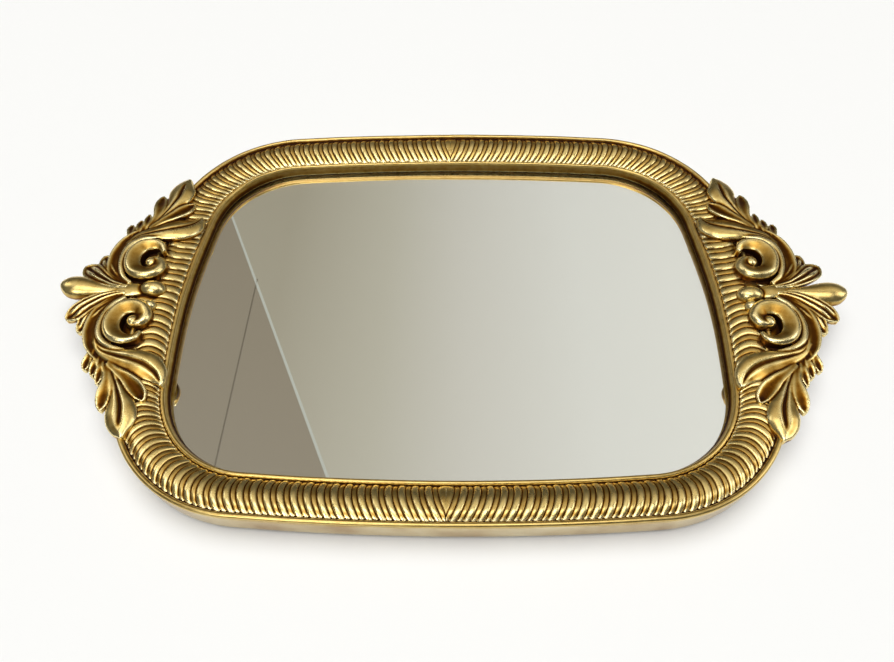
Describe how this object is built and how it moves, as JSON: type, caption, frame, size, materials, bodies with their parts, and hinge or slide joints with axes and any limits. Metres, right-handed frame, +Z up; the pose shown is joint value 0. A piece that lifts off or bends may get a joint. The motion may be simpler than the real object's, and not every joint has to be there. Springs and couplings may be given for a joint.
{
  "type": "dresser vanity tray",
  "caption": "Oval mirrored vanity tray with a gadrooned antique-gold moulding and a leaf-and-scroll casting at each end as handles.",
  "frame": {"origin": "on the surface the tray stands on, under its centre", "axes": "+X along the tray through both end castings, +Y towards the back, +Z up"},
  "size_m": [0.42, 0.2572, 0.025],
  "materials": {
    "antique_gold": "antique gold paint rubbed back over dark brown in the recesses",
    "mirror_glass": "clear float glass, silvered behind",
    "foam": "black double-sided foam tape",
    "hardboard": "brown pressed hardboard",
    "screw_steel": "zinc-plated steel",
    "foot_felt": "dark brown pressed felt"
  },
  "bodies": {
    "root": {"frame_rail": "antique_gold", "mirror_glass": "mirror_glass", "foam_tape": "foam", "back_board": "hardboard", "board_screws": "screw_steel", "left_handle": "antique_gold", "right_handle": "antique_gold", "handle_screws": "screw_steel", "front_left_foot": "foot_felt", "front_right_foot": "foot_felt", "back_left_foot": "foot_felt", "back_right_foot": "foot_felt"}
  },
  "joints": []
}
